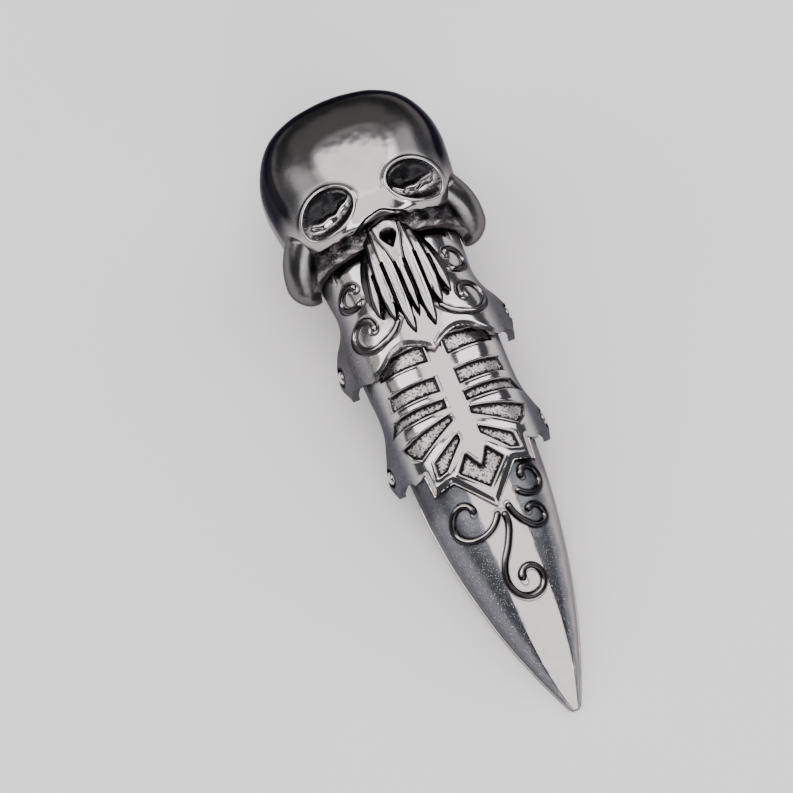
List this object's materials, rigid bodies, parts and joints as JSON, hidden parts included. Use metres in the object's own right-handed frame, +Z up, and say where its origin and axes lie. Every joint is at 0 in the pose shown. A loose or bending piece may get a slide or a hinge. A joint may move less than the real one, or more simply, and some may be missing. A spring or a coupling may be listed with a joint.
{
  "type": "articulated claw ring",
  "caption": "Articulated finger armour ring with a skull cap, overlapping hinged plates and a hollow pointed claw.",
  "frame": {"origin": "under the middle of the ring, on the surface that it rests on", "axes": "+Y along the finger towards the hand, +Z up through the crown of the skull, +X across the finger"},
  "size_m": [0.0324, 0.0958, 0.0275],
  "materials": {
    "antique_silver": "polished antique silver plate with blackened recesses",
    "rivet_metal": "polished"
  },
  "bodies": {
    "skull": {"skull": "antique_silver", "skull_pin_left": "rivet_metal", "skull_pin_right": "rivet_metal"},
    "scroll_plate": {"scroll_plate": "antique_silver", "scroll_rivet_left": "rivet_metal", "scroll_rivet_right": "rivet_metal"},
    "rib_plate": {"rib_plate": "antique_silver", "rib_rivet_left": "rivet_metal", "rib_rivet_right": "rivet_metal"},
    "claw": {"claw": "antique_silver"}
  },
  "joints": [
    {"name": "skull_hinge", "type": "hinge", "parent": "skull", "child": "scroll_plate", "pos_m": [0, 0.02579, 0.0125], "axis": [1, 0, 0], "range_deg": [0, 40]},
    {"name": "scroll_hinge", "type": "hinge", "parent": "scroll_plate", "child": "rib_plate", "pos_m": [0, 0.00979, 0.0108], "axis": [1, 0, 0], "range_deg": [0, 45]},
    {"name": "rib_hinge", "type": "hinge", "parent": "rib_plate", "child": "claw", "pos_m": [0, -0.00671, 0.0076], "axis": [1, 0, 0], "range_deg": [0, 45]}
  ]
}
